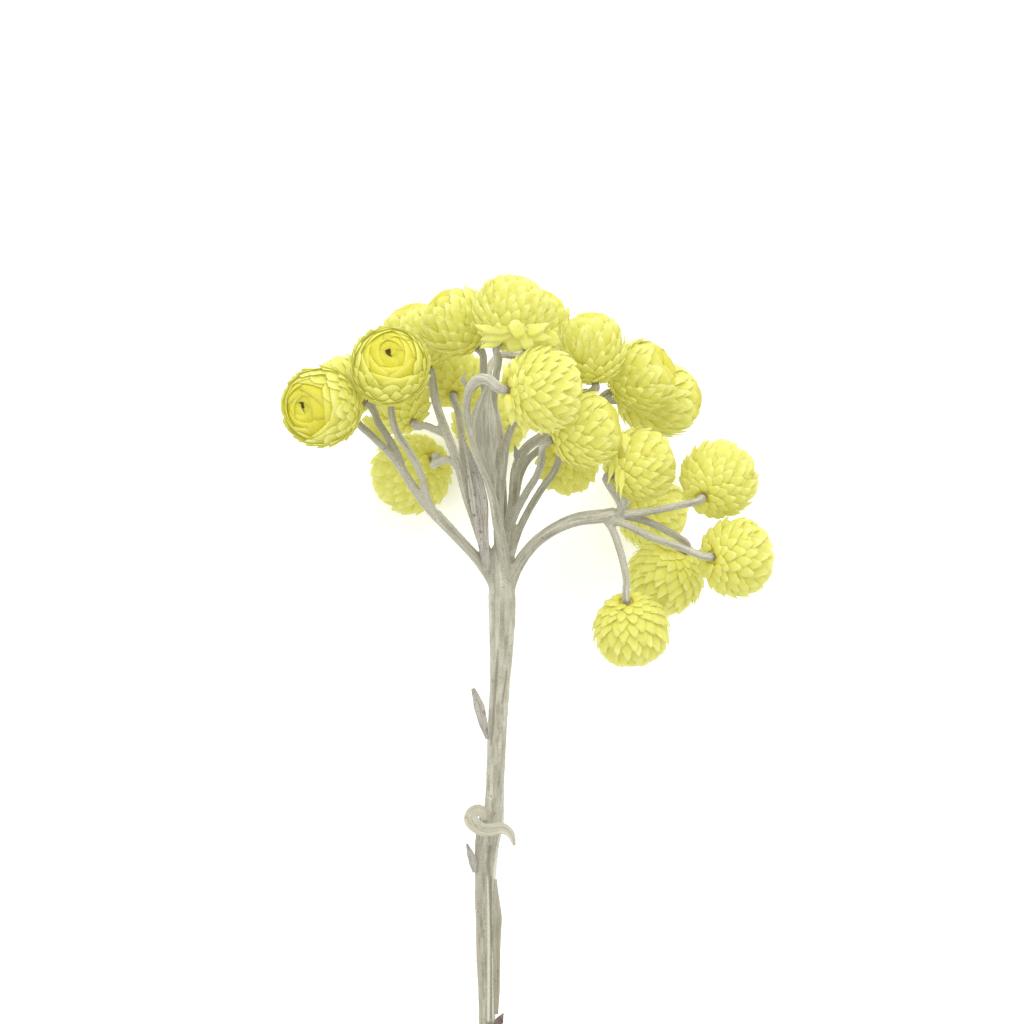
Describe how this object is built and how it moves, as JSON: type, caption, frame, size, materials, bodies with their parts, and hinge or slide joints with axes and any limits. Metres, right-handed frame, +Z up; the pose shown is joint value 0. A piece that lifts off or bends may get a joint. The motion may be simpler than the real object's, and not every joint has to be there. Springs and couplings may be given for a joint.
{
  "type": "dried everlasting flower stem",
  "caption": "Cut sprig of a dried everlasting, lying on its side: a felted, forking stem with leaves and round papery yellow heads, for arranging or decoration.",
  "frame": {"origin": "on the table, under the middle of the sprig's box", "axes": "+Y along the stem from the cut end to the heads, +Z up from the table, the picture looks straight down"},
  "size_m": [0.0726, 0.1242, 0.0469],
  "materials": {
    "felted_stem": "dry, finely felted, matt",
    "yellow_bract": "papery, thin, faint sheen",
    "felted_leaf": "felted, mottled, matt",
    "pale_leaf": "felted, matt",
    "withered_leaf": "withered, crumpled, matt"
  },
  "bodies": {
    "root": {"stem": "felted_stem", "head_01": "yellow_bract", "head_02": "yellow_bract", "head_03": "yellow_bract", "head_04": "yellow_bract", "head_05": "yellow_bract", "head_06": "yellow_bract", "head_07": "yellow_bract", "head_08": "yellow_bract", "head_09": "yellow_bract", "head_10": "yellow_bract", "head_11": "yellow_bract", "head_12": "yellow_bract", "head_13": "yellow_bract", "head_14": "yellow_bract", "head_15": "yellow_bract", "head_16": "yellow_bract", "head_17": "yellow_bract", "head_18": "yellow_bract", "head_19": "yellow_bract", "head_20": "yellow_bract", "head_21": "yellow_bract", "head_22": "yellow_bract", "head_23": "yellow_bract", "bract_loose": "yellow_bract", "leaf_lance": "felted_leaf", "leaf_curled": "pale_leaf", "leaf_stub": "felted_leaf", "leaf_strap": "pale_leaf", "leaf_felted": "felted_leaf", "leaf_spoon": "pale_leaf", "leaf_withered": "withered_leaf"}
  },
  "joints": []
}
